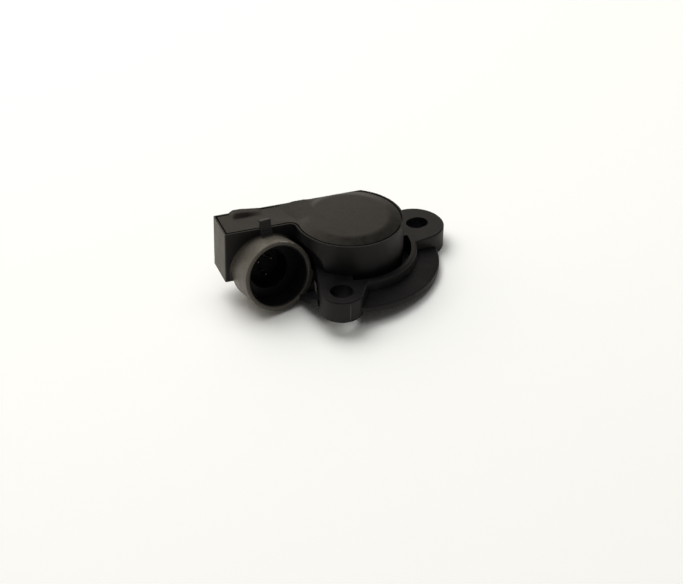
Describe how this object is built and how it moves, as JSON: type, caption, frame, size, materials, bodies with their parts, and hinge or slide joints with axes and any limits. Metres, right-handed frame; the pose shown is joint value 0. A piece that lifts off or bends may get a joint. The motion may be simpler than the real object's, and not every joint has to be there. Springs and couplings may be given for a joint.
{
  "type": "throttle position sensor",
  "caption": "Rotary position sensor for a throttle shaft: black moulded housing with screw flange, round connector shroud on an arm, welded cover and a spring-returned rotor.",
  "frame": {"origin": "on the rotor's axis, on the mounting face of the flange", "axes": "+Z along the rotor's axis towards the cover, -X along the arm, -Y on the side where the connector opens"},
  "size_m": [0.062, 0.0498, 0.0236],
  "materials": {
    "housing_plastic": "black moulded, satin",
    "cover_plastic": "black moulded, fine matt grain",
    "board_laminate": "bare laminate",
    "carbon_ink": "printed and cured",
    "silver_ink": "printed and cured",
    "tinned_brass": "bright tin plate",
    "solder": "smooth",
    "rotor_plastic": "glass filled, dark grey",
    "spring_bronze": "rolled sheet",
    "spring_steel": "drawn wire",
    "seal_rubber": "smooth moulded"
  },
  "bodies": {
    "housing": {"housing": "housing_plastic", "cover": "cover_plastic", "element_board": "board_laminate", "resistor_track": "carbon_ink", "collector_track": "carbon_ink", "track_leads": "silver_ink", "terminal_right": "tinned_brass", "terminal_left": "tinned_brass", "terminal_lower": "tinned_brass", "solder_joints": "solder", "return_spring": "spring_steel", "rotor_seal": "seal_rubber"},
    "rotor": {"rotor": "rotor_plastic", "wiper": "spring_bronze"}
  },
  "joints": [
    {"name": "rotor_turn", "type": "hinge", "parent": "housing", "child": "rotor", "pos_m": [0, 0, 0], "axis": [0, 0, 1], "range_deg": [0, 100], "stiffness_Nm_per_rad": 0.004, "springref_deg": -20.05, "deforming": ["return_spring"]}
  ]
}
